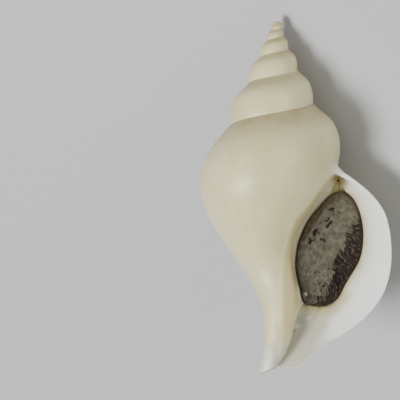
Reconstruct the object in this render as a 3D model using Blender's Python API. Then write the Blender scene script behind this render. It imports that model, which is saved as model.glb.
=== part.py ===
"""A smooth whelk shell lying on its back, with the horny operculum lodged in its mouth.

The shell is one grown piece. Its wall is swept along a spiral: every row of points is one outline of the
whorl, from the suture above it down to the foot of the columella, at one angle of growth. The hollow runs
two turns back from the mouth and opens at the canal. Lengths are in millimetres until a mesh is made.
"""
import math

import bmesh
import bpy
import numpy as np
from mathutils import Matrix, Vector

MM = 0.001

# Growth of the whorls. An angle of growth of 0 is the right side of the mouth and a depth of 0 is the
# point that the spiral shrinks to, just above the apex. The values belong to the angle -360.
SUTURE_DEPTH = 27.2
PERIPHERY_DEPTH = 41.6
PERIPHERY_RADIUS = 19.7
BASE_DEPTH = 73.2
BASE_FULLNESS = 1.04
DEPTH_GROWTH = 1.273
SPIRE_RADIUS_GROWTH = 1.31
BODY_RADIUS_GROWTH = 1.22
SUTURE_DROP = 2.8
SUTURE_DROP_START = -130.0
APEX_DEPTH = 2.25
SPIRE_SHIFT = 0.4
SPIRE_SHIFT_FULL = 20.0
SPIRE_SHIFT_NONE = 34.0

# Columella, neck and canal
NECK_RADIUS = 4.1
NECK_GROWTH = 1.4
FOLD_HEIGHT = 2.5
FOLD_DEPTH = 90.0
FOLD_WIDTH = 10.0
NECK_TAPER_DEPTH = 101.0
NECK_TAPER = 0.45
NECK_BEND = 2.6
FLOOR_DEPTH = 75.0
CANAL_END_DEPTH = 111.2
CANAL_END_TILT = 0.9
CANAL_START = -188.0

# Mouth: the outer lip flares over its last few degrees to this outline of (depth, radius)
MOUTH_ANGLE = 14.0
FLARE_START = -6.0
LIP_OUTLINE = [
    (46.0, 19.0),
    (52.8, 27.3),
    (60.3, 34.0),
    (74.1, 36.8),
    (87.8, 33.9),
    (97.8, 24.6),
    (104.1, 14.6),
    (111.2, 9.0),
]

# Wall
WALL = 1.35
WALL_OF_PERIPHERY = 0.09
WALL_OF_RADIUS = 0.16

# Rows of points along the spiral, each turn with the same steps, and columns down an outline
STEP_ANGLE = 12.0
TURNS = 5.5
HOLLOW_TURNS = 2
SHOULDER_COLUMNS = 6
FLANK_COLUMNS = 2
BASE_COLUMNS = 10
LIP_STEPS = [0.0, 6.0]
OUTLINE_SAMPLES = 160

# Operculum, outline of (side, depth) from the shell's axis, lying in the plane of the mouth
OPERCULUM_OUTLINE = [
    (19.8, 55.3),
    (13.4, 60.2),
    (9.7, 64.6),
    (7.0, 70.6),
    (6.1, 75.6),
    (6.1, 80.0),
    (7.2, 84.6),
    (8.5, 89.6),
    (13.4, 91.0),
    (18.3, 89.2),
    (21.3, 83.9),
    (25.6, 76.6),
    (26.8, 70.0),
    (26.4, 64.6),
    (25.0, 59.7),
    (22.4, 56.3),
]
OPERCULUM_NUCLEUS = (10.2, 87.6)
OPERCULUM_THICKNESS = 1.3
OPERCULUM_DOME = 0.9
OPERCULUM_FRONT = 0.0
OPERCULUM_EDGE_POINTS = 36
LAMELLA_RINGS = [1.0, 0.9, 0.885, 0.72, 0.7, 0.5, 0.48, 0.27]
LAMELLA_STEP = 0.22

# How the shell lies: on the back of its last whorl, turned onto the outer lip's side, where it doesn't roll
ROLL = 38.68
PITCH = -22.89

SUTURE_COLUMN = SHOULDER_COLUMNS + FLANK_COLUMNS
LAST_COLUMN = SUTURE_COLUMN + 1 + BASE_COLUMNS


def smooth_step(value):
    value = min(1.0, max(0.0, value))
    return value * value * (3.0 - 2.0 * value)


def half_turns(angle):
    return (angle + 360.0) / 180.0


def smooth_curve(points, x):
    """Value at x of a smooth curve through (x, y) points."""
    xs = [point[0] for point in points]
    ys = [point[1] for point in points]
    if x <= xs[0]:
        return ys[0]
    if x >= xs[-1]:
        return ys[-1]
    last = len(xs) - 1
    k = max(i for i in range(last) if xs[i] <= x)
    slopes = []
    for i in (k, k + 1):
        before = max(0, i - 1)
        after = min(last, i + 1)
        slopes.append((ys[after] - ys[before]) / (xs[after] - xs[before]))
    width = xs[k + 1] - xs[k]
    t = (x - xs[k]) / width
    start = (1 + 2 * t) * (1 - t) ** 2 * ys[k] + t * (1 - t) ** 2 * width * slopes[0]
    end = t * t * (3 - 2 * t) * ys[k + 1] + t * t * (t - 1) * width * slopes[1]
    return start + end


def suture_depth(angle):
    """Depth of the seam at the top of the whorl, which drops a little more near the mouth."""
    drop = SUTURE_DROP * smooth_step((angle - SUTURE_DROP_START) / (MOUTH_ANGLE - SUTURE_DROP_START))
    return SUTURE_DEPTH * DEPTH_GROWTH ** half_turns(angle) + drop


def periphery_depth(angle):
    return PERIPHERY_DEPTH * DEPTH_GROWTH ** half_turns(angle)


def periphery_radius(angle):
    growth = SPIRE_RADIUS_GROWTH if angle < -360.0 else BODY_RADIUS_GROWTH
    return PERIPHERY_RADIUS * growth ** half_turns(angle)


def canal_end(angle):
    return CANAL_END_DEPTH - CANAL_END_TILT * math.cos(math.radians(angle))


def floor_depth(angle):
    """Depth at which the hollow of the whorl ends on the columella."""
    depth = FLOOR_DEPTH * DEPTH_GROWTH ** half_turns(min(angle, CANAL_START))
    opened = smooth_step((angle + 360.0) / (CANAL_START + 360.0))
    return depth + (canal_end(angle) - depth) * opened


def neck_radius(angle, depth):
    """Radius of the columella and neck, with the fold that the mouth shows."""
    growth = NECK_GROWTH if angle < -360.0 else 1.0
    radius = NECK_RADIUS * growth ** half_turns(angle)
    turned = min(180.0, abs(angle + 360.0))
    fold = FOLD_HEIGHT * math.cos(math.radians(turned / 2)) ** 2
    radius += fold * math.exp(-((depth - FOLD_DEPTH) / FOLD_WIDTH) ** 2)
    tip = smooth_step((depth - NECK_TAPER_DEPTH) / (CANAL_END_DEPTH - NECK_TAPER_DEPTH))
    return radius * (1.0 - NECK_TAPER * tip)


def shoulder(angle, t):
    """Share of the step from the suture out to the periphery: angled on the spire, round on the body."""
    round_shoulder = math.sin(math.pi / 2 * min(1.0, t / 0.86))
    ramp = 0.5 * (1.0 - math.cos(math.pi * min(1.0, t / 0.42)))
    angled_shoulder = 0.65 * ramp + 0.35 * (t - math.sin(2 * math.pi * t) / (2 * math.pi))
    roundness = smooth_step((angle + 400.0) / 200.0)
    return angled_shoulder + (round_shoulder - angled_shoulder) * roundness


def base_radius(angle, depth):
    """Radius below the periphery, down to the neck."""
    middle = periphery_depth(angle)
    end = BASE_DEPTH * DEPTH_GROWTH ** half_turns(angle)
    t = min(1.0, (depth - middle) / (end - middle))
    share = 0.5 * (1.0 + math.cos(math.pi * max(0.0, t) ** BASE_FULLNESS))
    neck = neck_radius(angle, depth)
    return neck + (periphery_radius(angle) - neck) * share


def whorl_radius(angle, depth):
    """Radius of the outer surface of a whorl at a depth at or below its suture."""
    top = suture_depth(angle)
    middle = periphery_depth(angle)
    if depth < middle:
        t = max(0.0, (depth - top) / (middle - top))
        seat = base_radius(angle - 360.0, top)
        radius = seat + (periphery_radius(angle) - seat) * shoulder(angle, t)
    else:
        radius = base_radius(angle, depth)
    if angle > FLARE_START:
        flare = ((angle - FLARE_START) / (MOUTH_ANGLE - FLARE_START)) ** 2
        flare *= smooth_step((depth - top) / 5.0)
        radius += (smooth_curve(LIP_OUTLINE, depth) - radius) * flare
    return radius


def wall_thickness(angle, radius):
    return min(WALL, WALL_OF_PERIPHERY * periphery_radius(angle), WALL_OF_RADIUS * radius)


def axis_shift(depth):
    """The spire leans a little to the left, and the end of the neck bends that way."""
    spire = smooth_step((SPIRE_SHIFT_NONE - depth) / (SPIRE_SHIFT_NONE - SPIRE_SHIFT_FULL))
    neck = max(0.0, (depth - NECK_TAPER_DEPTH) / (CANAL_END_DEPTH - NECK_TAPER_DEPTH))
    return -SPIRE_SHIFT * spire - NECK_BEND * neck ** 2


def place(angle, depth, radius):
    """Point of the shell, its apex towards +Y and its mouth towards +Z."""
    turn = math.radians(angle)
    return Vector((axis_shift(depth) + radius * math.cos(turn), -depth, radius * math.sin(turn)))


def row_angle(back):
    """Angle of the row that lies a number of rows back from the mouth."""
    steps = LIP_STEPS + list(np.arange(STEP_ANGLE, 359.0, STEP_ANGLE))
    turn, step = divmod(back, len(steps))
    return MOUTH_ANGLE - 360.0 * turn - steps[step]


def evenly(outline, count):
    """Points at equal distances along an outline of (depth, radius), without its first one."""
    outline = np.array(outline)
    lengths = np.hypot(*np.diff(outline, axis=0).T)
    along = np.concatenate([[0.0], np.cumsum(lengths)])
    stops = np.linspace(0.0, along[-1], count + 1)[1:]
    depths = np.interp(stops, along, outline[:, 0])
    radii = np.interp(stops, along, outline[:, 1])
    return list(zip(depths, radii))


def outer_outline(angle):
    """Outline of the outer surface, as (depth, radius), from the suture to the foot."""
    top = suture_depth(angle)
    middle = periphery_depth(angle)
    seam = suture_depth(angle + 360.0)
    seat = seam + 1.6 * wall_thickness(angle + 360.0, periphery_radius(angle))
    depths = list(np.linspace(top, middle, SHOULDER_COLUMNS + 1))
    depths += list(np.linspace(middle, seam, FLANK_COLUMNS + 1))[1:]
    depths.append(seat)
    outline = [(depth, whorl_radius(angle, depth)) for depth in depths]
    below = [
        (depth, whorl_radius(angle, depth))
        for depth in np.linspace(seat, floor_depth(angle + 360.0), OUTLINE_SAMPLES)
    ]
    return outline + evenly(below, BASE_COLUMNS)


def inner_outline(angle, start):
    """Outline of the inner surface of the wall, from its seat on the whorl above, down to the floor."""
    depths = np.linspace(suture_depth(angle), floor_depth(angle), OUTLINE_SAMPLES)
    outer = np.array([(depth, whorl_radius(angle, depth)) for depth in depths])
    slope = np.gradient(outer, axis=0)
    slope /= np.hypot(slope[:, 0], slope[:, 1])[:, None]
    thickness = np.array([wall_thickness(angle, radius) for radius in outer[:, 1]])
    inner = outer + thickness[:, None] * np.stack([slope[:, 1], -slope[:, 0]], axis=1)
    clear = 0.4 * WALL
    kept = [tuple(point) for point in inner if start[0] + clear < point[0] < depths[-1] - clear]
    end_radius = outer[-1, 1] - thickness[-1]
    return evenly([start] + kept + [(depths[-1], end_radius)], LAST_COLUMN)


def build_shell_mesh():
    """The closed surface of the shell, outside and hollow together."""
    mesh = bmesh.new()
    turn_rows = len(LIP_STEPS) + len(np.arange(STEP_ANGLE, 359.0, STEP_ANGLE))
    last = int(TURNS * turn_rows)
    hollow_start = last - HOLLOW_TURNS * turn_rows
    base_start = hollow_start - turn_rows
    angles = [row_angle(last - row) for row in range(last + 1)]
    canal_start = min(row for row in range(last) if angles[row] > CANAL_START)

    # Outer points. The first column of a row is the seam that the whorl above already has.
    outlines = [outer_outline(angle) for angle in angles]
    outer = []
    for row, angle in enumerate(angles):
        points = []
        for column, (depth, radius) in enumerate(outlines[row]):
            if column == 0 and row >= turn_rows:
                points.append(outer[row - turn_rows][SUTURE_COLUMN])
            elif column > SUTURE_COLUMN and row < base_start:
                points.append(None)
            else:
                points.append(mesh.verts.new(place(angle, depth, radius)))
        outer.append(points)

    # Inner points, seated on the whorl above
    inner = {}
    for row in range(hollow_start, last + 1):
        above = row - turn_rows
        start = outlines[above][SUTURE_COLUMN + 1]
        points = [outer[above][SUTURE_COLUMN + 1]]
        for depth, radius in inner_outline(angles[row], start):
            points.append(mesh.verts.new(place(angles[row], depth, radius)))
        inner[row] = points

    # Outside of all the whorls, and below the seam the base, which is also the wall of the next hollow
    for row in range(last):
        for column in range(LAST_COLUMN):
            if column == SUTURE_COLUMN and row < last - turn_rows:
                continue
            if column > SUTURE_COLUMN and row < base_start:
                continue
            here = outer[row]
            after = outer[row + 1]
            mesh.faces.new([here[column], here[column + 1], after[column + 1], after[column]])

    # Inside of the wall, and the floor of the hollow or the rim of the canal
    for row in range(hollow_start, last):
        here = inner[row]
        after = inner[row + 1]
        for column in range(LAST_COLUMN):
            mesh.faces.new([here[column], after[column], after[column + 1], here[column + 1]])
        beside = row if row >= canal_start else row - turn_rows
        foot = outer[beside][LAST_COLUMN]
        next_foot = outer[beside + 1][LAST_COLUMN]
        mesh.faces.new([foot, here[LAST_COLUMN], after[LAST_COLUMN], next_foot])

    # Rounded edge of the outer lip
    rim = [None]
    for column in range(1, LAST_COLUMN + 1):
        outside = outer[last][column].co
        inside = inner[last][column].co
        middle = (outside + inside) / 2
        forward = Vector((0, 0, 1)).lerp(Vector((1, 0, 0)), 0.2).normalized()
        rim.append(mesh.verts.new(middle + forward * (outside - inside).length * 0.4))
    mesh.faces.new([outer[last][0], outer[last][1], rim[1]])
    mesh.faces.new([outer[last][0], rim[1], inner[last][0]])
    mesh.faces.new([inner[last][0], rim[1], inner[last][1]])
    for column in range(1, LAST_COLUMN):
        mesh.faces.new([outer[last][column], outer[last][column + 1], rim[column + 1], rim[column]])
        mesh.faces.new([rim[column], rim[column + 1], inner[last][column + 1], inner[last][column]])
    mesh.faces.new([outer[last][LAST_COLUMN], inner[last][LAST_COLUMN], rim[LAST_COLUMN]])

    # End of the columella, closed to a point in its middle
    around = [outer[row][LAST_COLUMN] for row in range(canal_start - turn_rows, canal_start + 1)]
    around.append(inner[canal_start][LAST_COLUMN])
    close_to_point(mesh, around, 0.4)

    # Blind end of the hollow, between the whorl above and the wall
    near = outer[hollow_start - turn_rows][SUTURE_COLUMN + 1:]
    far = inner[hollow_start]
    zip_chains(mesh, near, far)

    # Apex
    top = [outer[row][0] for row in range(turn_rows + 1)]
    top += [outer[0][column] for column in range(SUTURE_COLUMN - 1, 0, -1)]
    dome = Vector((-SPIRE_SHIFT, -APEX_DEPTH, 0.0))
    ring = []
    for point in top:
        out = point.co.lerp(dome, 0.35)
        out.y = dome.y + (point.co.y - dome.y) * 0.25
        ring.append(mesh.verts.new(out))
    centre = mesh.verts.new(dome)
    for k in range(len(top)):
        after = (k + 1) % len(top)
        mesh.faces.new([top[k], top[after], ring[after], ring[k]])
        mesh.faces.new([ring[k], ring[after], centre])

    bmesh.ops.triangulate(mesh, faces=mesh.faces[:])
    bmesh.ops.recalc_face_normals(mesh, faces=mesh.faces[:])
    return mesh


def close_to_point(mesh, loop, inward):
    """Closes a loop of points with a fan whose middle lies a little inside the piece."""
    middle = sum((point.co for point in loop), Vector()) / len(loop)
    centre = mesh.verts.new(middle + Vector((0.0, inward, 0.0)))
    for here, after in zip(loop, loop[1:] + loop[:1]):
        mesh.faces.new([here, after, centre])


def zip_chains(mesh, near, far):
    """Fills between two chains that share their first point."""
    i = 0
    j = 0
    while i < len(near) - 1 or j < len(far) - 1:
        step_near = (i + 1) / (len(near) - 1)
        step_far = (j + 1) / (len(far) - 1)
        if i < len(near) - 1 and step_near <= step_far:
            if near[i + 1] is not far[j] and near[i] is not far[j]:
                mesh.faces.new([near[i], near[i + 1], far[j]])
            i += 1
        else:
            if near[i] is not far[j]:
                mesh.faces.new([near[i], far[j + 1], far[j]])
            elif i < len(near) - 1:
                mesh.faces.new([near[i], near[i + 1], far[j + 1]])
                i += 1
            j += 1


def build_operculum_mesh():
    """A thin domed plate, whose growth ledges step up towards its nucleus at the lower left."""
    mesh = bmesh.new()
    outline = closed_curve(OPERCULUM_OUTLINE, OPERCULUM_EDGE_POINTS)
    nucleus = Vector(OPERCULUM_NUCLEUS)
    rings = []
    height = 0.0
    for number, share in enumerate(LAMELLA_RINGS):
        if number % 2 == 0 and number > 0:
            height += LAMELLA_STEP
        ring = []
        for side, depth in outline:
            spot = nucleus + (Vector((side, depth)) - nucleus) * share
            lift = OPERCULUM_FRONT - OPERCULUM_DOME + height + OPERCULUM_DOME * (1.0 - share ** 2) ** 0.5
            ring.append(mesh.verts.new((spot[0], -spot[1], lift)))
        rings.append(ring)
    back = []
    back_lift = OPERCULUM_FRONT - OPERCULUM_DOME - OPERCULUM_THICKNESS
    for side, depth in outline:
        spot = nucleus + (Vector((side, depth)) - nucleus) * 0.97
        back.append(mesh.verts.new((spot[0], -spot[1], back_lift)))
    rings.insert(0, back)
    for here, after in zip(rings, rings[1:]):
        for k in range(len(outline)):
            following = (k + 1) % len(outline)
            mesh.faces.new([here[k], here[following], after[following], after[k]])
    for ring, lift in ((rings[-1], 0.1), (rings[0], 0.0)):
        middle = sum((point.co for point in ring), Vector()) / len(ring)
        centre = mesh.verts.new(middle + Vector((0.0, 0.0, lift)))
        for k in range(len(outline)):
            mesh.faces.new([ring[k], ring[(k + 1) % len(outline)], centre])
    bmesh.ops.triangulate(mesh, faces=mesh.faces[:])
    bmesh.ops.recalc_face_normals(mesh, faces=mesh.faces[:])
    return mesh


def closed_curve(points, count):
    """Points at equal distances round a smooth closed curve through the given ones."""
    dense = []
    total = len(points)
    for k in range(total):
        before, here, after, beyond = (Vector(points[(k + n) % total]) for n in (-1, 0, 1, 2))
        for t in np.linspace(0.0, 1.0, 12, endpoint=False):
            t = float(t)
            spot = here * 2 + (after - before) * t
            spot += (before * 2 - here * 5 + after * 4 - beyond) * t * t
            spot += (here * 3 - before - after * 3 + beyond) * t ** 3
            dense.append(spot / 2)
    dense.append(dense[0])
    return evenly([tuple(point) for point in dense], count)


def principled(name, colour, roughness):
    material = bpy.data.materials.new(name)
    material.use_nodes = True
    shader = material.node_tree.nodes["Principled BSDF"]
    shader.inputs["Base Color"].default_value = (*colour, 1.0)
    shader.inputs["Roughness"].default_value = roughness
    shader.inputs["Metallic"].default_value = 0.0
    return material


def add_piece(name, mesh, material, smooth_angle):
    """An object of that mesh, in metres, lying as the shell lies."""
    lie = Matrix.Rotation(math.radians(PITCH), 4, "X") @ Matrix.Rotation(math.radians(ROLL), 4, "Y")
    bmesh.ops.transform(mesh, matrix=Matrix.Scale(MM, 4) @ lie, verts=mesh.verts[:])
    data = bpy.data.meshes.new(name)
    mesh.to_mesh(data)
    mesh.free()
    data.materials.append(material)
    data.shade_smooth()
    data.set_sharp_from_angle(angle=math.radians(smooth_angle))
    piece = bpy.data.objects.new(name, data)
    bpy.context.collection.objects.link(piece)
    return piece


def stand_on_floor(pieces, rest):
    """Hangs the pieces on an empty that puts the underside's middle at the origin."""
    corners = np.array([vertex.co for piece in pieces for vertex in piece.data.vertices])
    low = corners.min(axis=0)
    high = corners.max(axis=0)
    rest.location = (-(low[0] + high[0]) / 2, -(low[1] + high[1]) / 2, -low[2])
    for piece in pieces:
        piece.parent = rest


def main():
    for item in list(bpy.data.objects):
        bpy.data.objects.remove(item, do_unlink=True)
    porcelain = principled("shell_ivory", (0.80, 0.74, 0.62), 0.38)
    horn = principled("operculum_horn", (0.12, 0.085, 0.05), 0.55)
    shell = add_piece("shell", build_shell_mesh(), porcelain, 50.0)
    operculum = add_piece("operculum", build_operculum_mesh(), horn, 30.0)
    rest = bpy.data.objects.new("rest", None)
    bpy.context.collection.objects.link(rest)
    stand_on_floor([shell, operculum], rest)


main()
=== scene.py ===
"""The whelk shell and its operculum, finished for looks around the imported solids."""
import math

import bmesh
import bpy
import numpy as np
from mathutils import Matrix, Vector, kdtree, noise
from mathutils.bvhtree import BVHTree


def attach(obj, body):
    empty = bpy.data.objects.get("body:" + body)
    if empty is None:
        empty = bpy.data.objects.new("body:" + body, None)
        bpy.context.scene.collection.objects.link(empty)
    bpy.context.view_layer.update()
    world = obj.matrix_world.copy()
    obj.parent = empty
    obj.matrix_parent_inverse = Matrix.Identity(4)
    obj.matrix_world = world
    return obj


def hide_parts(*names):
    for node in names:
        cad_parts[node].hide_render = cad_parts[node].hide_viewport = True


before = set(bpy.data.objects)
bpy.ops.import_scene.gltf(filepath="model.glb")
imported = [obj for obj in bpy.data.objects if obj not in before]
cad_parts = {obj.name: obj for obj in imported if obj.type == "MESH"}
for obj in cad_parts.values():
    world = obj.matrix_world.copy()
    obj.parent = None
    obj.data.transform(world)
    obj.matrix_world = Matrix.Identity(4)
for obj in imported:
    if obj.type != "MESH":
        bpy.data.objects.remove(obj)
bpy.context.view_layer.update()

MM = 0.001

# Millimetres of the shell to a pixel of the photograph
PHOTO_SCALE = 0.3125

# How the shell lies. Its own axis frame, in millimetres, has the apex towards +Y and the mouth towards +Z.
# It starts at AXIS_ORIGIN, in metres, the point that the spiral shrinks to. A depth is a distance below that
# point, a side is a distance to the right of the axis, and growth's angle is 0 at the right of the mouth.
ROLL = 38.68
PITCH = -22.89
AXIS_ORIGIN = Vector((-0.0041764528, 0.0523269176, 0.0030277357))
LIE = Matrix.Rotation(math.radians(PITCH), 3, "X") @ Matrix.Rotation(math.radians(ROLL), 3, "Y")
LIE_ROWS = np.array(LIE)

# Sizes of the whorl in millimetres at the growth angle -360, how they grow over half a turn, and the neck
SUTURE_DEPTH = 27.2
PERIPHERY_DEPTH = 41.6
PERIPHERY_RADIUS = 19.7
BASE_DEPTH = 73.2
DEPTH_GROWTH = 1.273
SPIRE_RADIUS_GROWTH = 1.31
BODY_RADIUS_GROWTH = 1.22
NECK_RADIUS = 4.1

# The last seam drops by this much more between its start and the mouth
SUTURE_DROP = 2.8
SUTURE_DROP_START = -130.0
MOUTH_ANGLE = 14.0

# Relief and colour bands are sized for a whorl of this radius, and shrink with the smaller ones
FULL_RADIUS = 29.4

# Distances from a seam at which none of its colour is left, for the lining and for the shell
FAR_FROM_SEAM = 9.0
NO_LATER_SEAM = 99.0

# Left edge of the glaze beside the mouth, as (depth, side)
GLAZE_EDGE = [
    (45.0, 21.0),
    (52.2, 15.2),
    (57.5, 11.2),
    (64.1, 5.2),
    (73.4, 2.4),
    (84.0, 1.4),
    (96.0, 1.6),
    (104.0, 0.6),
    (112.0, -3.0),
]

# The operculum's edge in the plane of the mouth, as (side, depth), its oldest point, and its form
OPERCULUM_OUTLINE = [
    (19.6, 55.2),
    (17.6, 55.8),
    (15.7, 57.3),
    (13.2, 60.1),
    (9.7, 64.5),
    (7.0, 70.6),
    (6.1, 75.6),
    (6.1, 80.0),
    (7.2, 84.6),
    (8.5, 89.6),
    (13.4, 91.0),
    (18.3, 89.2),
    (21.3, 83.9),
    (25.6, 76.6),
    (26.8, 70.0),
    (26.4, 64.6),
    (25.2, 60.3),
    (23.6, 57.4),
    (21.6, 55.7),
]
OPERCULUM_NUCLEUS = (10.2, 87.6)
OPERCULUM_THICKNESS = 1.2
OPERCULUM_DOME = 0.9
OPERCULUM_RISE = 0.66
OPERCULUM_TOP = 1.6

# The upper corner of the mouth, where the groove above the operculum ends
POSTERIOR_CORNER = (19.2, 51.7)

# Points round the operculum's edge: to find the nearest one, and to lay pieces along it
RIM_POINTS = 380
EDGE_STEPS = 720

# Where the operculum's pale ridge ends at the dark right flank and the brown left one, as (depth, side)
DARK_FLANK = [
    (55.0, 27.0),
    (62.3, 26.0),
    (63.4, 24.7),
    (67.8, 23.1),
    (70.3, 22.3),
    (73.1, 20.9),
    (74.9, 19.2),
    (77.1, 18.0),
    (80.8, 18.2),
    (83.6, 16.6),
    (88.0, 13.4),
    (91.0, 10.5),
]
BROWN_FLANK = [(55.0, 18.5), (57.7, 17.2), (62.0, 14.2), (67.2, 10.6), (70.0, 8.3), (73.4, 6.6), (76.0, 5.0)]

# Black pits of the operculum, as (side, depth, reach), and its small white nub
PITS = [
    (17.4, 61.2, 1.0),
    (16.1, 64.8, 1.7),
    (12.4, 68.1, 1.6),
    (10.2, 70.4, 1.3),
    (14.2, 70.3, 1.0),
    (22.6, 60.3, 0.6),
    (19.0, 77.4, 1.5),
    (18.8, 80.4, 1.6),
    (18.6, 83.2, 1.5),
    (14.2, 84.5, 1.1),
    (13.3, 88.5, 1.1),
]
NUB = (9.0, 87.2)
NUB_RADIUS = 0.42

# Growth lines of the operculum: ledges from its oldest point to its edge, and how far apart the arcs are
COARSE_LEDGES = 9.0
FINE_LEDGES = 34.0
ARC_SPACING = 1.15

# Right edge of the glaze on the columella, as (depth, side)
GLAZE_END = [(45.0, 19.0), (52.0, 17.0), (57.0, 15.0), (64.0, 10.0), (72.0, 7.4), (90.0, 6.4), (112.0, 4.0)]

# How deep the end of the columella and of the canal may reach, as (side, depth)
CANAL_END = [
    (-5.0, 112.3),
    (-2.2, 111.2),
    (-1.2, 110.5),
    (0.3, 110.1),
    (2.7, 110.8),
    (4.5, 110.9),
    (6.5, 110.6),
    (8.1, 109.8),
    (9.9, 108.2),
    (11.3, 106.6),
    (13.4, 104.4),
    (15.6, 103.4),
    (18.0, 120.0),
]

# Width of the mouth's lining, as (share of the way round the operculum, width), and its thickness
LINING_WIDTH = [
    (0.0, 3.4),
    (0.05, 2.4),
    (0.15, 1.6),
    (0.3, 1.8),
    (0.35, 6.0),
    (0.42, 10.0),
    (0.5, 9.0),
    (0.58, 5.0),
    (0.66, 0.9),
    (0.93, 0.9),
    (0.97, 2.2),
    (1.0, 3.4),
]
LINING_THICKNESS = 0.3

# The apex's small bulb, as (depth, radius)
APEX_BULB = [(2.1, 0.0), (2.3, 0.9), (2.8, 1.45), (3.6, 1.75), (4.5, 1.7), (5.2, 1.55), (6.2, 1.9)]

# Colours of the shell
CREAM = (0.61, 0.55, 0.28)
LIGHT_CREAM = (0.71, 0.66, 0.375)
PALE_MOTTLE = (0.80, 0.76, 0.54)
PALE_STREAK = (0.84, 0.80, 0.62)
BROWN_LINE = (0.50, 0.42, 0.25)
SEAM_TAN = (0.38, 0.30, 0.14)
SEAM_PALE = (0.84, 0.80, 0.66)
SEAM_BROWN = (0.34, 0.27, 0.15)
NECK_GREY = (0.68, 0.68, 0.57)
INNER_IVORY = (0.88, 0.87, 0.79)
# Painted shade: the recessed canal below the operculum is drawn greyer and darker
CANAL_SHADE = (0.47, 0.45, 0.35)
GLAZE_YELLOW = (0.68, 0.60, 0.27)
LIP_WHITE = (0.93, 0.94, 0.90)
# Painted shade on the walls beside the operculum and in the groove above its tip
WALL_SHADE = (0.36, 0.30, 0.20)
# Painted shade: a warm narrow shadow along the operculum's edge and in the mouth's upper corner
OCHRE_SHADE = (0.40, 0.33, 0.09)

# Colours of the operculum
DARK_HORN = (0.06, 0.05, 0.028)
OLIVE_HORN = (0.12, 0.105, 0.065)
PALE_HORN = (0.22, 0.20, 0.14)
HOLLOW_BROWN = (0.04, 0.03, 0.015)
FIBRE_GREY = (0.36, 0.34, 0.27)
FIBRE_BROWN = (0.035, 0.028, 0.016)
LEFT_BROWN = (0.05, 0.034, 0.013)
LEFT_LINE = (0.24, 0.20, 0.11)
RIGHT_BROWN = (0.010, 0.004, 0.0015)
RIGHT_ARC = (0.15, 0.105, 0.06)
SPECK_GREY = (0.34, 0.31, 0.25)
SPECK_BROWN = (0.02, 0.014, 0.008)
PIT_BLACK = (0.008, 0.006, 0.004)
RIM_BROWN = (0.06, 0.035, 0.01)
NUB_WHITE = (0.66, 0.64, 0.52)


def to_axis_frame(points):
    """Points of the row frame, in metres, as millimetres in the shell's own axis frame."""
    return (np.asarray(points) - np.array(AXIS_ORIGIN)) @ LIE_ROWS / MM


def to_row_frame(points):
    """The way back: points of the axis frame, in millimetres, as metres in the row frame."""
    return np.asarray(points) * MM @ LIE_ROWS.T + np.array(AXIS_ORIGIN)


def smooth_step(value):
    value = np.clip(value, 0.0, 1.0)
    return value * value * (3.0 - 2.0 * value)


def half_turns(angle):
    """How many half turns the shell has grown since the angle -360."""
    return (angle + 360.0) / 180.0


def suture_depth(angle):
    drop = smooth_step((angle - SUTURE_DROP_START) / (MOUTH_ANGLE - SUTURE_DROP_START))
    return SUTURE_DEPTH * DEPTH_GROWTH ** half_turns(angle) + SUTURE_DROP * drop


def periphery_depth(angle):
    return PERIPHERY_DEPTH * DEPTH_GROWTH ** half_turns(angle)


def periphery_radius(angle):
    growth = np.where(angle < -360.0, SPIRE_RADIUS_GROWTH, BODY_RADIUS_GROWTH)
    return PERIPHERY_RADIUS * growth ** half_turns(angle)


def body_radius(angle, depth):
    """Outer radius of a whorl, near enough to tell its outside from what lies within it."""
    top = suture_depth(angle)
    middle = periphery_depth(angle)
    end = BASE_DEPTH * DEPTH_GROWTH ** half_turns(angle)
    below = np.clip((depth - middle) / (end - middle), 0.0, 1.0)
    full = periphery_radius(angle)
    base = NECK_RADIUS + (full - NECK_RADIUS) * 0.5 * (1.0 + np.cos(np.pi * below))
    above = np.clip((depth - top) / (middle - top), 0.0, 1.0)
    ramp = full * (0.66 + 0.34 * np.sin(np.pi / 2 * above))
    return np.where(depth < middle, ramp, base)


def growth_place(points):
    """Angle of growth, depth, distance below the seam, and radius of points in the axis frame."""
    depth = np.maximum(-points[:, 1], 1.0)
    radius = np.hypot(points[:, 0], points[:, 2])
    turn = np.degrees(np.arctan2(points[:, 2], points[:, 0]))
    seam_angle = -360.0 + 180.0 * np.log(depth / SUTURE_DEPTH) / math.log(DEPTH_GROWTH)
    angle = turn + 360.0 * np.floor((seam_angle - turn) / 360.0)
    past_mouth = MOUTH_ANGLE + 1.5
    angle = np.where(angle > past_mouth, turn - 360.0 * (turn > past_mouth), angle)
    angle = np.where(depth < suture_depth(angle), angle - 360.0, angle)
    return angle, depth, depth - suture_depth(angle), radius


def activate(piece):
    bpy.ops.object.select_all(action="DESELECT")
    piece.select_set(True)
    bpy.context.view_layer.objects.active = piece


def apply_modifier(piece, kind, **settings):
    activate(piece)
    modifier = piece.modifiers.new(kind.title(), kind)
    for name, value in settings.items():
        setattr(modifier, name, value)
    bpy.ops.object.modifier_apply(modifier=modifier.name)


def vertex_places(mesh):
    places = np.empty(len(mesh.vertices) * 3)
    mesh.vertices.foreach_get("co", places)
    return places.reshape(-1, 3)


def vertex_normals(mesh):
    normals = np.empty(len(mesh.vertices) * 3)
    mesh.vertex_normals.foreach_get("vector", normals)
    return normals.reshape(-1, 3)


def set_places(mesh, places):
    mesh.vertices.foreach_set("co", places.ravel())
    mesh.update()


def add_masks(mesh, **masks):
    for name, values in masks.items():
        layer = mesh.attributes.new(name, "FLOAT", "POINT")
        layer.data.foreach_set("value", np.asarray(values, dtype=np.float32))


def add_pattern(mesh, name, vectors):
    layer = mesh.attributes.new(name, "FLOAT_VECTOR", "POINT")
    layer.data.foreach_set("vector", np.asarray(vectors, dtype=np.float32).ravel())


def noise_of(places, scale, octaves=3):
    return np.array([noise.fractal(Vector(place) * scale, 1.0, 2.0, octaves) for place in places])


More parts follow.
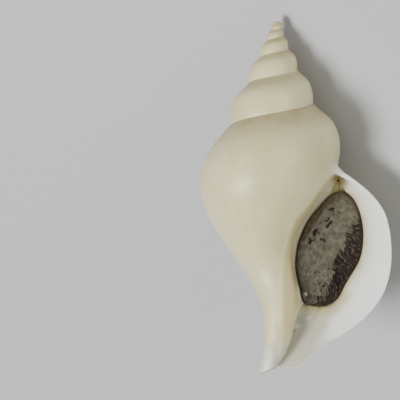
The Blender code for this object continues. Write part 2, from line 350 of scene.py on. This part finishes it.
def make_shell():
    """The CAD shell, rounded by subdivision, drawn in round the operculum and given its growth marks."""
    piece = bpy.data.objects.new("shell_surface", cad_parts["shell"].data.copy())
    bpy.context.collection.objects.link(piece)
    mesh = piece.data
    mesh.materials.clear()
    activate(piece)
    bpy.ops.object.mode_set(mode="EDIT")
    bpy.ops.mesh.select_all(action="SELECT")
    bpy.ops.mesh.remove_doubles(threshold=0.00001)
    bpy.ops.mesh.tris_convert_to_quads(face_threshold=0.9, shape_threshold=0.9)
    bpy.ops.object.mode_set(mode="OBJECT")
    crease_seams(mesh)
    apply_modifier(piece, "SUBSURF", levels=2, render_levels=2)
    round_the_ends(mesh)
    close_round_operculum(mesh)
    shape_growth_marks(mesh)
    mark_shell_zones(mesh)
    activate(piece)
    bpy.ops.object.shade_smooth()
    return piece


def crease_seams(mesh):
    """Inner corners, such as the seams between whorls, stay crisp when the surface is rounded."""
    fold = math.radians(28)
    sharpness = 0.75
    shape = bmesh.new()
    shape.from_mesh(mesh)
    crease = shape.edges.layers.float.get("crease_edge") or shape.edges.layers.float.new("crease_edge")
    for edge in shape.edges:
        if len(edge.link_faces) == 2 and edge.calc_face_angle_signed(0.0) < -fold:
            edge[crease] = sharpness
    shape.to_mesh(mesh)
    shape.free()


def table(values, rows):
    """Values between the rows of a table of pairs."""
    return np.interp(values, [row[0] for row in rows], [row[1] for row in rows])


def round_the_ends(mesh):
    """A round end for the canal and the columella, and a small bulb at the apex."""
    local = to_axis_frame(vertex_places(mesh))
    depth = -local[:, 1]
    over = depth - table(local[:, 0], CANAL_END)
    low = depth > 96.0
    depth = np.where(low, depth - 0.5 * (over + np.sqrt(over ** 2 + 0.09)), depth)
    radius = np.maximum(np.hypot(local[:, 0], local[:, 2]), 0.001)
    bulb = table(depth, APEX_BULB)
    grow = np.where((depth < 6.2) & (radius < bulb) & (radius > 0.2), bulb / radius, 1.0)
    local[:, 0] *= grow
    local[:, 2] *= grow
    dome = np.maximum(1.0 - (np.hypot(local[:, 0], local[:, 2]) / 1.8) ** 2, 0.0)
    local[:, 1] = -np.where(depth < 4.0, depth - 0.6 * dome, depth)
    set_places(mesh, to_row_frame(local))


def rim_of_operculum(local):
    """Nearest spot of the operculum's edge or groove, how far off it is, and its share of the way round."""
    outline = operculum_outline(RIM_POINTS)
    groove = np.linspace(outline[0], POSTERIOR_CORNER, 16)
    spots = np.vstack([outline, groove])
    tree = kdtree.KDTree(len(spots))
    for k, (x, y) in enumerate(spots):
        tree.insert(Vector((x, y, 0.0)), k)
    tree.balance()
    flat = np.column_stack([local[:, 0], -local[:, 1]])
    found = [tree.find(Vector((x, y, 0.0))) for x, y in flat]
    order = np.array([hit[1] for hit in found])
    reach = np.array([hit[2] for hit in found])
    crossings = np.zeros(len(flat), dtype=int)
    for (x0, y0), (x1, y1) in zip(outline, np.roll(outline, -1, axis=0)):
        between = (flat[:, 1] > y0) != (flat[:, 1] > y1)
        if y1 != y0:
            crossings += between & (flat[:, 0] < x0 + (flat[:, 1] - y0) * (x1 - x0) / (y1 - y0))
    reach = np.where(crossings % 2 == 1, 0.0, reach)
    return spots[order], reach, order / RIM_POINTS


def close_round_operculum(mesh):
    """Draws the mouth's walls in to the operculum's rim, with a slope above it and a groove over its tip."""
    local = to_axis_frame(vertex_places(mesh))
    normals = vertex_normals(mesh) @ LIE_ROWS
    near, reach, share = rim_of_operculum(local)
    towards = near - np.column_stack([local[:, 0], -local[:, 1]])
    towards /= np.maximum(reach, 0.001)[:, None]
    facing = normals[:, 0] * towards[:, 0] - normals[:, 1] * towards[:, 1]
    height = local[:, 2]
    gap = 0.3 + 1.5 * np.maximum(height + 0.5, 0.0) + 1.1 * np.maximum(-2.6 - height, 0.0)
    weight = smooth_step(facing * 2.2) * smooth_step((6.5 - reach) / 3.0)
    weight *= smooth_step((9.0 - np.abs(height)) / 3.0)
    shift = np.maximum(reach - gap, 0.0) * weight
    local[:, 0] += towards[:, 0] * shift
    local[:, 1] -= towards[:, 1] * shift
    end = smooth_step((share - 0.36) / 0.06) * smooth_step((0.7 - share) / 0.08)
    slope = -1.7 - 0.6 * reach
    raised = np.maximum(slope - height, 0.0) * end * smooth_step((10.0 - reach) / 4.0)
    faces_up = smooth_step((normals[:, 2] - 0.1) * 3.0)
    local[:, 2] += raised * faces_up * smooth_step((height + 14.0) / 4.0) * (reach > 0.0)
    set_places(mesh, to_row_frame(local))


def make_lining(shell):
    """A sheet from beneath the operculum's rim to the mouth's walls, corner and canal floor."""
    bpy.ops.object.select_all(action="DESELECT")
    bpy.ops.mesh.primitive_grid_add(x_subdivisions=180, y_subdivisions=8, size=1.0)
    piece = bpy.context.object
    piece.name = "mouth_lining"
    mesh = piece.data
    grid = vertex_places(mesh)
    around = grid[:, 0] + 0.5
    across = grid[:, 1] + 0.5
    outline = operculum_outline(EDGE_STEPS + 1)
    nearest = np.round(around * EDGE_STEPS).astype(int) % EDGE_STEPS
    edge = outline[nearest]
    along = outline[(nearest + 4) % EDGE_STEPS] - outline[(nearest - 4) % EDGE_STEPS]
    out = np.column_stack([-along[:, 1], along[:, 0]])
    out /= np.hypot(out[:, 0], out[:, 1])[:, None]
    middle = np.mean(outline, axis=0)
    out *= np.sign(np.sum(out * (edge - middle), axis=1))[:, None]
    width = table(around, LINING_WIDTH)
    tuck = 0.8
    off = across * (width + tuck) - tuck
    flat = edge + out * off[:, None]
    surface = BVHTree.FromPolygons(
        [tuple(v.co) for v in shell.data.vertices], [tuple(f.vertices) for f in shell.data.polygons]
    )
    down = LIE @ Vector((0.0, 0.0, -1.0))
    ray_height = 12.0
    longest_drop = 15.0
    starts = to_row_frame(np.column_stack([flat[:, 0], -flat[:, 1], np.full(len(flat), ray_height)]))
    drops = [surface.ray_cast(Vector(start), down)[3] for start in starts]
    reached = np.array([ray_height - (longest_drop if drop is None else drop / MM) for drop in drops])
    end = smooth_step((around - 0.31) / 0.06) * smooth_step((0.68 - around) / 0.06)
    target = np.minimum(reached - 0.15, -1.0) * end - 1.0 * (1.0 - end)
    raised = np.maximum(target, -2.6 - 0.42 * np.maximum(off, 0.0))
    target = raised + (target - 0.2 - raised) * smooth_step((across - 0.55) / 0.45)
    start_height = -2.5
    height = start_height + (target - start_height) * smooth_step(across)
    set_places(mesh, to_row_frame(np.column_stack([flat[:, 0], -flat[:, 1], height])))
    full = np.ones(len(flat))
    # Painted shade on the sheet: a warm shadow in the upper corner and by the rim over the canal, with the
    # walls and canal masks darkening the rest
    corner = smooth_step((np.abs(around - 0.5) - 0.44) / 0.03)
    stain = np.maximum(0.9 * corner, 0.9 * end * np.exp(-(np.maximum(off, 0.0) / 3.0) ** 2))
    from_seam = full * FAR_FROM_SEAM
    add_masks(mesh, walls=1.0 - end, canal=end, stain=stain, inside=full)
    add_masks(mesh, above_seam=from_seam, below_seam=from_seam)
    apply_modifier(piece, "SOLIDIFY", thickness=LINING_THICKNESS * MM, offset=0.0)
    activate(piece)
    bpy.ops.object.shade_smooth()
    return piece


def growth_pattern(angle, below):
    """Distance along the growth of the whorl and distance below its seam, in millimetres."""
    along = periphery_radius(angle) * math.pi / math.log(BODY_RADIUS_GROWTH)
    return np.stack([along, below, np.zeros_like(along)], axis=1)


def back_share(angle):
    """1 on the last half turn, which the back view shows, and less on the front."""
    return smooth_step((angle + 225.0) / 60.0) * smooth_step((4.0 - angle) / 20.0)


def shape_growth_marks(mesh):
    """Low swellings where growth paused, a wrinkled seam, the glaze's raised edge and ridges on the neck."""
    places = vertex_places(mesh)
    normals = vertex_normals(mesh)
    facing = normals @ LIE_ROWS
    local = to_axis_frame(places)
    angle, depth, below, radius = growth_place(local)
    outward = np.sum(facing * local * [1, 0, 1], axis=1) / np.maximum(radius, 0.1)
    outside = smooth_step(outward * 4.0) * smooth_step((radius - body_radius(angle, depth) + 4.0) / 2.0)
    pattern = growth_pattern(angle, below)
    size = periphery_radius(angle) / FULL_RADIUS
    swelling = noise_of(pattern * [0.16, 0.012, 0.0], 1.0, 2)
    near_seam = np.exp(-(below / (3.0 * size)) ** 2)
    wrinkle = noise_of(pattern * [0.6, 0.06, 0.0], 1.0, 2)
    back = back_share(angle)
    lift = 0.2 * size * swelling * (0.3 + 0.7 * back) * (1.0 - 0.6 * near_seam)
    lift += 0.3 * size * wrinkle * near_seam * (0.15 + 0.85 * back)
    lift -= 0.22 * size * np.exp(-(below / (0.8 * size)) ** 2)
    neck_top = 99.0
    ridge_spacing = 3.4
    neck = smooth_step((depth - neck_top) / 2.5)
    ridges = np.sin((depth - neck_top + 0.8 * np.cos(np.radians(angle))) * 2 * math.pi / ridge_spacing)
    lift += neck * 0.14 * ridges
    lift += 0.55 * smooth_step((depth - 102.0) / 2.0) * smooth_step(np.cos(np.radians(angle - 180.0)) * 2.0)
    near_mouth = smooth_step((angle + 4.0) / 10.0)
    lift *= outside * (1.0 - 0.85 * near_mouth)
    from_edge = local[:, 0] - table(depth, GLAZE_EDGE)
    front = smooth_step(facing[:, 2] * 3.0 - 0.6) * (local[:, 2] > 0.0)
    glaze_edge = 0.34 * np.exp(-(from_edge / 1.1) ** 2) * front
    lift += glaze_edge * smooth_step((depth - 47.0) / 3.0) * (depth < 96.0)
    set_places(mesh, places + normals * (lift * MM)[:, None])


def operculum_outline(count):
    """Evenly spaced points of the operculum's edge, as (side, depth)."""
    corners = np.array(OPERCULUM_OUTLINE)
    dense = []
    total = len(corners)
    for k in range(total):
        before, here, after, beyond = (corners[(k + n) % total] for n in (-1, 0, 1, 2))
        for t in np.linspace(0.0, 1.0, 16, endpoint=False):
            spot = 2 * here + (after - before) * t + (2 * before - 5 * here + 4 * after - beyond) * t ** 2
            dense.append((spot + (3 * here - before - 3 * after + beyond) * t ** 3) / 2)
    dense = np.array(dense + dense[:1])
    along = np.concatenate([[0.0], np.cumsum(np.hypot(*np.diff(dense, axis=0).T))])
    stops = np.linspace(0.0, along[-1], count)
    return np.stack([np.interp(stops, along, dense[:, k]) for k in (0, 1)], axis=1)


def mark_shell_zones(mesh):
    """Attributes that tell the material where it is, such as the seam, the inside, the glaze and the lip,
    and where shade is painted: the canal, the walls by the operculum and the shadow along its edge.
    """
    places = vertex_places(mesh)
    normals = vertex_normals(mesh) @ LIE_ROWS
    local = to_axis_frame(places)
    angle, depth, below, radius = growth_place(local)
    side = local[:, 0]
    outward = (normals[:, 0] * local[:, 0] + normals[:, 2] * local[:, 2]) / np.maximum(radius, 0.1)
    in_mouth = smooth_step((side - table(depth, GLAZE_END)) / 1.2 + 0.5) * (depth > 50.0)
    in_mouth *= smooth_step((body_radius(0.0, depth) * 0.97 - radius) / 1.5)
    inside = np.maximum(smooth_step(0.3 - outward * 3.0), in_mouth)
    size = periphery_radius(angle) / FULL_RADIUS
    band = smooth_step(1.0 - below / (10.0 * size + 1.0)) * (1.0 - inside)
    front = smooth_step(normals[:, 2] * 3.0 + 0.6) * (local[:, 2] > -3.0)
    glaze = smooth_step((side - table(depth, GLAZE_EDGE)) / 1.6 + 0.5) * front
    glaze *= (depth > 46.0) * (radius < 24.0)
    glaze *= smooth_step(0.5 - (side - table(depth, GLAZE_END)) / 1.2) * smooth_step((103.0 - depth) / 6.0)
    inside *= 1.0 - glaze
    # Painted shade: the recessed canal below the operculum is marked to be painted darker
    canal = inside * smooth_step((depth - 86.0) / 7.0) * smooth_step((20.5 - side) / 6.0)
    canal *= local[:, 2] < 8.0
    neck = smooth_step((depth - 98.0) / 11.0)
    lip = smooth_step((angle - 2.0) / 8.0) * (depth > 46.0) * smooth_step((radius - 10.0) / 9.0)
    filling = smooth_step((side - 16.0) / 2.5) * smooth_step((52.0 - depth) / 2.0)
    filling *= smooth_step((depth - 46.0) / 1.5)
    lip = np.maximum(lip, filling * front * smooth_step(local[:, 2] / 2.0))
    reach, share = rim_of_operculum(local)[1:]
    # Painted shade: the walls mask darkens the wall beside the operculum's left edge and the groove over its
    # tip, near the operculum's level
    level = smooth_step((4.0 - np.abs(local[:, 2] + 0.5)) / 2.5) * (side > 2.0)
    left = smooth_step((0.42 - share) / 0.06) * (share <= 1.0)
    groove = (share > 1.0) * 1.0
    walls = np.exp(-(reach / 3.0) ** 4) * level * np.maximum(left, groove)
    right = smooth_step((share - 0.42) / 0.06) * (1.0 - groove)
    # Painted shade: a warm narrow shadow along the operculum's right edge, in the groove over its tip and
    # below its lower edge
    stain = 0.75 * np.exp(-(reach / 2.2) ** 2) * level * right
    stain = np.maximum(stain, np.exp(-(reach / 1.9) ** 4) * level * groove)
    bottom = smooth_step((share - 0.4) / 0.05) * smooth_step((0.64 - share) / 0.05)
    stain = np.maximum(stain, 0.95 * np.exp(-(reach / 3.4) ** 2) * level * bottom)
    has_later_seam = angle < MOUTH_ANGLE - 360.0
    following = np.where(has_later_seam, suture_depth(angle + 360.0) - depth, NO_LATER_SEAM)
    add_masks(mesh, inside=inside, seam_band=band, glaze=glaze, neck=neck, canal=canal, lip=lip)
    add_masks(mesh, walls=walls, stain=stain, back=back_share(angle))
    add_masks(mesh, above_seam=following / size, below_seam=below / size)
    add_pattern(mesh, "growth", growth_pattern(angle, below))


def make_operculum():
    """A thin horny plate: a pale flaky ridge between two brown flanks, growth ledges, pits and a nub."""
    bpy.ops.object.select_all(action="DESELECT")
    bpy.ops.mesh.primitive_grid_add(x_subdivisions=240, y_subdivisions=84, size=1.0)
    piece = bpy.context.object
    piece.name = "operculum_plate"
    mesh = piece.data
    grid = vertex_places(mesh)
    around = grid[:, 0] + 0.5
    share = 1.0 - (grid[:, 1] + 0.5)
    outline = operculum_outline(EDGE_STEPS + 1)
    nucleus = np.array(OPERCULUM_NUCLEUS)
    edge = outline[np.round(around * EDGE_STEPS).astype(int)]
    flat = nucleus + (edge - nucleus) * share[:, None]
    wobble = noise_of(np.column_stack([flat * 0.11, np.zeros(len(flat))]), 1.0, 3)
    coarse = noise_of(np.column_stack([flat * 0.3, np.full(len(flat), 3.0)]), 1.0, 4)
    flakes = noise_of(np.column_stack([flat * 0.9, np.full(len(flat), 7.0)]), 1.0, 4)
    bearing = np.unwrap(np.arctan2(flat[:, 1] - nucleus[1], flat[:, 0] - nucleus[0]))
    fibres = noise_of(np.column_stack([bearing * 9.0, share * 1.6, np.full(len(flat), 2.0)]), 1.0, 3)
    ring = (np.hypot(*(flat - nucleus).T) + 2.2 * wobble + 0.8 * coarse) / ARC_SPACING
    feather = 0.75 * np.sin(2 * np.pi * ring)
    past_ridge = flat[:, 0] - table(flat[:, 1], DARK_FLANK)
    dark_flank = smooth_step((past_ridge + 3.4 * coarse + feather) / 2.2 + 0.5)
    brown_flank = smooth_step((table(flat[:, 1], BROWN_FLANK) - flat[:, 0] + 1.6 * coarse) / 1.2 + 0.5)
    ridge = (1.0 - dark_flank) * (1.0 - brown_flank)
    pit_zone = np.zeros(len(flat))
    for side, depth, reach in PITS:
        pit_zone += np.exp(-((flat[:, 0] - side) ** 2 + (flat[:, 1] - depth) ** 2) / reach ** 2)
    pits = smooth_step((pit_zone * 1.2 + flakes * 1.3 - 0.78) / 0.3) * smooth_step((0.96 - share) / 0.05)
    nub = np.exp(-((flat[:, 0] - NUB[0]) ** 2 + (flat[:, 1] - NUB[1]) ** 2) / NUB_RADIUS ** 2)
    age = share + 0.05 * wobble * share
    ledge = age * COARSE_LEDGES % 1.0
    fine = age * FINE_LEDGES % 1.0
    rise = OPERCULUM_RISE * (1.0 - share)
    rise += OPERCULUM_DOME * (np.sqrt(1.0 - np.minimum(share, 1.0) ** 2) - 1.0)
    off_rim = smooth_step((1.0 - share) / 0.06)
    relief = 0.12 * ledge + 0.05 * fine + 0.2 * (ring % 1.0) * dark_flank
    relief += 0.3 * coarse * smooth_step(1.3 - share)
    relief += (0.2 * flakes + 0.22 * fibres + 0.3) * ridge
    height = rise + off_rim * relief - 0.38 * pits + 0.3 * nub
    points = np.column_stack([flat[:, 0], -flat[:, 1], np.minimum(height, OPERCULUM_TOP)])
    set_places(mesh, to_row_frame(points))
    add_masks(mesh, age=age, ring=ring, pits=pits, nub=nub, share=share)
    add_masks(mesh, dark_flank=dark_flank, brown_flank=brown_flank)
    add_pattern(mesh, "plate", np.column_stack([flat - nucleus, np.zeros(len(flat))]))
    add_pattern(mesh, "fibre", np.column_stack([bearing * 14.0, share * 2.2, np.zeros(len(flat))]))
    activate(piece)
    bpy.ops.object.mode_set(mode="EDIT")
    bpy.ops.mesh.select_all(action="SELECT")
    bpy.ops.mesh.remove_doubles(threshold=0.000003)
    bpy.ops.mesh.normals_make_consistent(inside=False)
    bpy.ops.object.mode_set(mode="OBJECT")
    if np.mean(vertex_normals(mesh) @ LIE_ROWS, axis=0)[2] < 0:
        mesh.flip_normals()
    apply_modifier(piece, "SOLIDIFY", thickness=OPERCULUM_THICKNESS * MM, offset=-1.0)
    activate(piece)
    bpy.ops.object.shade_smooth()
    return piece


class Nodes:
    """A material's node tree, written a node at a time."""

    def __init__(self, name):
        self.material = bpy.data.materials.new(name)
        self.material.use_nodes = True
        self.tree = self.material.node_tree
        self.shader = self.tree.nodes["Principled BSDF"]

    def add(self, kind, **settings):
        node = self.tree.nodes.new(kind)
        for name, value in settings.items():
            setattr(node, name, value)
        return node

    def link(self, source, target):
        self.tree.links.new(source, target)

    def attribute(self, name):
        return self.add("ShaderNodeAttribute", attribute_name=name)

    def mask(self, name):
        return self.attribute(name).outputs["Fac"]

    def noise(self, vector, scale, detail=3.0, roughness=0.5):
        node = self.add("ShaderNodeTexNoise")
        node.inputs["Scale"].default_value = scale
        node.inputs["Detail"].default_value = detail
        node.inputs["Roughness"].default_value = roughness
        self.link(vector, node.inputs["Vector"])
        return node.outputs["Fac"]

    def stretch(self, vector, scale):
        node = self.add("ShaderNodeMapping")
        node.inputs["Scale"].default_value = scale
        self.link(vector, node.inputs["Vector"])
        return node.outputs["Vector"]

    def ramp(self, value, stops):
        node = self.add("ShaderNodeValToRGB")
        while len(node.color_ramp.elements) < len(stops):
            node.color_ramp.elements.new(0.5)
        for element, (place, colour) in zip(node.color_ramp.elements, stops):
            element.position = place
            element.color = (*colour, 1.0) if isinstance(colour, tuple) else (colour, colour, colour, 1.0)
        self.link(value, node.inputs["Fac"])
        return node.outputs["Color"]

    def mix(self, factor, first, second, blend="MIX"):
        node = self.add("ShaderNodeMix", data_type="RGBA", blend_type=blend)
        for source, socket in ((factor, node.inputs[0]), (first, node.inputs[6]), (second, node.inputs[7])):
            if isinstance(source, tuple):
                socket.default_value = (*source, 1.0)
            elif isinstance(source, float):
                socket.default_value = source
            else:
                self.link(source, socket)
        return node.outputs[2]

    def math(self, operation, first, second=0.0, clamp=False):
        node = self.add("ShaderNodeMath", operation=operation, use_clamp=clamp)
        for source, socket in ((first, node.inputs[0]), (second, node.inputs[1])):
            if isinstance(source, float):
                socket.default_value = source
            else:
                self.link(source, socket)
        return node.outputs[0]

    def scaled(self, value, factor, offset):
        """A value times a factor, plus an offset."""
        node = self.add("ShaderNodeMath", operation="MULTIPLY_ADD")
        node.inputs[1].default_value = factor
        node.inputs[2].default_value = offset
        self.link(value, node.inputs[0])
        return node.outputs[0]

    def bump(self, height, strength, distance, normal=None):
        node = self.add("ShaderNodeBump")
        node.inputs["Strength"].default_value = strength
        node.inputs["Distance"].default_value = distance
        self.link(height, node.inputs["Height"])
        if normal is not None:
            self.link(normal, node.inputs["Normal"])
        return node.outputs["Normal"]


def shell_material():
    """Cream shell, tan under the seams, with growth streaks, a white lip and yellowish glaze, and painted
    shade in the canal, on the walls by the operculum and along its edge.
    """
    nodes = Nodes("shell_ivory")
    growth = nodes.attribute("growth").outputs["Vector"]
    place = nodes.add("ShaderNodeTexCoord").outputs["Object"]
    back = nodes.mask("back")
    cloud = nodes.noise(place, 42.0, 3.0)
    colour = nodes.ramp(cloud, [(0.3, CREAM), (0.7, LIGHT_CREAM)])
    mottle = nodes.noise(place, 210.0, 4.0, 0.6)
    colour = nodes.mix(nodes.ramp(mottle, [(0.5, 0.0), (0.75, 0.3)]), colour, PALE_MOTTLE)
    streak = nodes.noise(nodes.stretch(growth, (0.42, 0.018, 1.0)), 1.0, 5.0, 0.6)
    streak = nodes.ramp(streak, [(0.42, 0.0), (0.66, 1.0)])
    amount = nodes.scaled(back, 0.42, 0.12)
    colour = nodes.mix(nodes.math("MULTIPLY", streak, amount), colour, PALE_STREAK)
    dark_line = nodes.noise(nodes.stretch(growth, (1.1, 0.03, 1.0)), 1.0, 4.0, 0.65)
    dark_line = nodes.ramp(dark_line, [(0.3, 1.0), (0.46, 0.0)])
    amount = nodes.scaled(back, 0.3, 0.07)
    colour = nodes.mix(nodes.math("MULTIPLY", dark_line, amount), colour, BROWN_LINE)
    uneven = nodes.noise(nodes.stretch(growth, (0.08, 0.2, 1.0)), 1.0, 3.0, 0.5)
    uneven = nodes.ramp(uneven, [(0.3, 0.55), (0.62, 1.0)])
    band = nodes.math("MULTIPLY", nodes.mask("seam_band"), uneven, True)
    colour = nodes.mix(nodes.math("MULTIPLY", band, 0.9), colour, SEAM_TAN)
    outer = nodes.math("SUBTRACT", 1.0, nodes.mask("inside"), True)
    pale = nodes.ramp(nodes.mask("above_seam"), [(0.0, 0.75), (0.6, 0.6), (1.0, 0.0)])
    colour = nodes.mix(nodes.math("MULTIPLY", pale, outer), colour, SEAM_PALE)
    seam = nodes.ramp(nodes.mask("below_seam"), [(0.0, 0.85), (0.35, 0.7), (0.75, 0.0)])
    colour = nodes.mix(nodes.math("MULTIPLY", seam, outer), colour, SEAM_BROWN)
    colour = nodes.mix(nodes.mask("neck"), colour, NECK_GREY)
    colour = nodes.mix(nodes.mask("inside"), colour, INNER_IVORY)
    # Painted shade in the recessed canal
    colour = nodes.mix(nodes.math("MULTIPLY", nodes.mask("canal"), 0.85), colour, CANAL_SHADE)
    colour = nodes.mix(nodes.math("MULTIPLY", nodes.mask("glaze"), 0.8), colour, GLAZE_YELLOW)
    colour = nodes.mix(nodes.math("MULTIPLY", nodes.mask("lip"), 0.9), colour, LIP_WHITE)
    # Painted shade on the walls by the operculum
    colour = nodes.mix(nodes.math("MULTIPLY", nodes.mask("walls"), 0.9), colour, WALL_SHADE)
    # Painted shade along the operculum's edge, broken up by the mottle
    stain = nodes.math("MULTIPLY", nodes.mask("stain"), nodes.math("ADD", mottle, 0.45), True)
    colour = nodes.mix(nodes.math("MULTIPLY", stain, 0.85), colour, OCHRE_SHADE)
    nodes.link(colour, nodes.shader.inputs["Base Color"])
    fine = nodes.noise(nodes.stretch(growth, (3.4, 0.06, 1.0)), 1.0, 4.0, 0.6)
    grain = nodes.noise(place, 900.0, 3.0)
    rough = nodes.scaled(streak, 0.12, 0.34)
    gloss = nodes.math("MAXIMUM", nodes.mask("glaze"), nodes.mask("inside"))
    rough = nodes.math("SUBTRACT", rough, nodes.math("MULTIPLY", gloss, 0.16))
    nodes.link(rough, nodes.shader.inputs["Roughness"])
    plain = nodes.math("SUBTRACT", 1.0, gloss, True)
    plain = nodes.math("MULTIPLY", plain, nodes.scaled(back, 0.75, 0.25))
    normal = nodes.bump(nodes.math("MULTIPLY", fine, plain), 0.5, 0.00022)
    normal = nodes.bump(grain, 0.12, 0.0001, normal)
    nodes.link(normal, nodes.shader.inputs["Normal"])
    nodes.shader.inputs["Subsurface Weight"].default_value = 0.12
    nodes.shader.inputs["Subsurface Radius"].default_value = (0.004, 0.003, 0.002)
    nodes.shader.inputs["Subsurface Scale"].default_value = 0.6
    return nodes.material


def operculum_material():
    """Horn: an olive-grey flaky ridge between a dark flank with arcs and a brown one with lines; pits."""
    nodes = Nodes("operculum_horn")
    plate = nodes.attribute("plate").outputs["Vector"]
    fibre = nodes.attribute("fibre").outputs["Vector"]
    age = nodes.mask("age")
    blotch = nodes.noise(plate, 0.5, 4.0, 0.6)
    colour = nodes.ramp(blotch, [(0.36, DARK_HORN), (0.5, OLIVE_HORN), (0.64, PALE_HORN)])
    strand = nodes.noise(fibre, 1.0, 5.0, 0.65)
    broad = nodes.noise(nodes.stretch(fibre, (0.4, 0.5, 1.0)), 1.0, 4.0, 0.6)
    colour = nodes.mix(nodes.ramp(broad, [(0.42, 0.9), (0.55, 0.0)]), colour, HOLLOW_BROWN)
    colour = nodes.mix(nodes.ramp(strand, [(0.5, 0.0), (0.64, 0.8)]), colour, FIBRE_GREY)
    colour = nodes.mix(nodes.ramp(strand, [(0.34, 0.9), (0.46, 0.0)]), colour, FIBRE_BROWN)
    lines = nodes.math("FRACT", nodes.math("MULTIPLY", age, FINE_LEDGES))
    lines = nodes.ramp(lines, [(0.0, 0.0), (0.6, 0.25), (0.85, 1.0), (1.0, 0.0)])
    worn = nodes.noise(plate, 0.7, 4.0, 0.7)
    lines = nodes.math("MULTIPLY", lines, nodes.ramp(worn, [(0.36, 0.0), (0.6, 0.9)]))
    left = nodes.mix(lines, LEFT_BROWN, LEFT_LINE)
    colour = nodes.mix(nodes.mask("brown_flank"), colour, left)
    arcs = nodes.math("FRACT", nodes.mask("ring"))
    arcs = nodes.ramp(arcs, [(0.0, 0.1), (0.4, 0.0), (0.78, 1.0), (1.0, 0.1)])
    arcs = nodes.math("MULTIPLY", arcs, nodes.ramp(worn, [(0.44, 0.0), (0.64, 0.9)]))
    right = nodes.mix(arcs, RIGHT_BROWN, RIGHT_ARC)
    colour = nodes.mix(nodes.mask("dark_flank"), colour, right)
    speck = nodes.noise(plate, 1.9, 5.0, 0.75)
    colour = nodes.mix(nodes.ramp(speck, [(0.6, 0.0), (0.72, 0.25)]), colour, SPECK_GREY)
    colour = nodes.mix(nodes.ramp(speck, [(0.3, 0.5), (0.42, 0.0)]), colour, SPECK_BROWN)
    colour = nodes.mix(nodes.mask("pits"), colour, PIT_BLACK)
    rim = nodes.ramp(nodes.mask("share"), [(0.955, 0.0), (0.98, 0.8), (1.0, 0.8)])
    broken = nodes.ramp(blotch, [(0.42, 0.35), (0.6, 1.0)])
    colour = nodes.mix(nodes.math("MULTIPLY", rim, broken), colour, RIM_BROWN)
    colour = nodes.mix(nodes.mask("nub"), colour, NUB_WHITE)
    nodes.link(colour, nodes.shader.inputs["Base Color"])
    nodes.link(nodes.scaled(worn, 0.5, 0.35), nodes.shader.inputs["Roughness"])
    nodes.shader.inputs["Specular IOR Level"].default_value = 0.3
    normal = nodes.bump(speck, 0.8, 0.0004)
    normal = nodes.bump(strand, 0.6, 0.0004, normal)
    nodes.link(normal, nodes.shader.inputs["Normal"])
    return nodes.material


def floor_material():
    nodes = Nodes("pale_floor")
    nodes.shader.inputs["Base Color"].default_value = (0.49, 0.495, 0.50, 1.0)
    nodes.shader.inputs["Roughness"].default_value = 0.8
    return nodes.material


def make_floor():
    bpy.ops.object.select_all(action="DESELECT")
    bpy.ops.mesh.primitive_plane_add(size=6.0, location=(0.0, 0.0, 0.0))
    floor = bpy.context.object
    floor.name = "floor"
    floor.data.materials.append(floor_material())


def add_light(name, place, size, power):
    """A soft square light that faces the shell's middle, its place given from there along the axis frame."""
    data = bpy.data.lights.new(name, "AREA")
    data.size = size
    data.energy = power
    light = bpy.data.objects.new(name, data)
    target = Vector((0.0, 0.0, 0.02))
    light.location = LIE @ Vector(place) + target
    light.rotation_euler = (target - light.location).to_track_quat("-Z", "Y").to_euler()
    bpy.context.collection.objects.link(light)


def make_lights():
    add_light("key", (-0.72, -0.42, 0.58), 0.42, 13.5)
    add_light("fill", (0.45, 0.35, 0.82), 0.8, 6.5)
    world = bpy.data.worlds.new("studio")
    world.use_nodes = True
    world.node_tree.nodes["Background"].inputs[0].default_value = (1.0, 1.0, 1.0, 1.0)
    world.node_tree.nodes["Background"].inputs[1].default_value = 0.36
    bpy.context.scene.world = world


def make_camera():
    """Looks straight into the mouth, as the photograph does, with the shell in the right half."""
    distance = 1.2
    picture_width = 400
    middle_pixel = picture_width / 2
    axis_pixel = 277
    origin_pixel = 15
    side = (middle_pixel - axis_pixel) * PHOTO_SCALE
    depth = (middle_pixel - origin_pixel) * PHOTO_SCALE
    data = bpy.data.cameras.new("camera")
    data.sensor_width = 36.0
    data.lens = data.sensor_width * distance / (picture_width * PHOTO_SCALE * MM)
    camera = bpy.data.objects.new("camera", data)
    place = to_row_frame([(side, -depth, 0.0)])[0] + np.array(LIE @ Vector((0.0, 0.0, distance)))
    camera.matrix_world = Matrix.Translation(Vector(place)) @ LIE.to_4x4()
    bpy.context.collection.objects.link(camera)
    bpy.context.scene.camera = camera


def dress(piece, node, material):
    piece.data.materials.clear()
    piece.data.materials.append(material)
    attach(piece, "root")
    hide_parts(node)


make_camera()
ivory = shell_material()
shell = make_shell()
dress(make_lining(shell), "shell", ivory)
dress(shell, "shell", ivory)
dress(make_operculum(), "operculum", operculum_material())
make_floor()
make_lights()
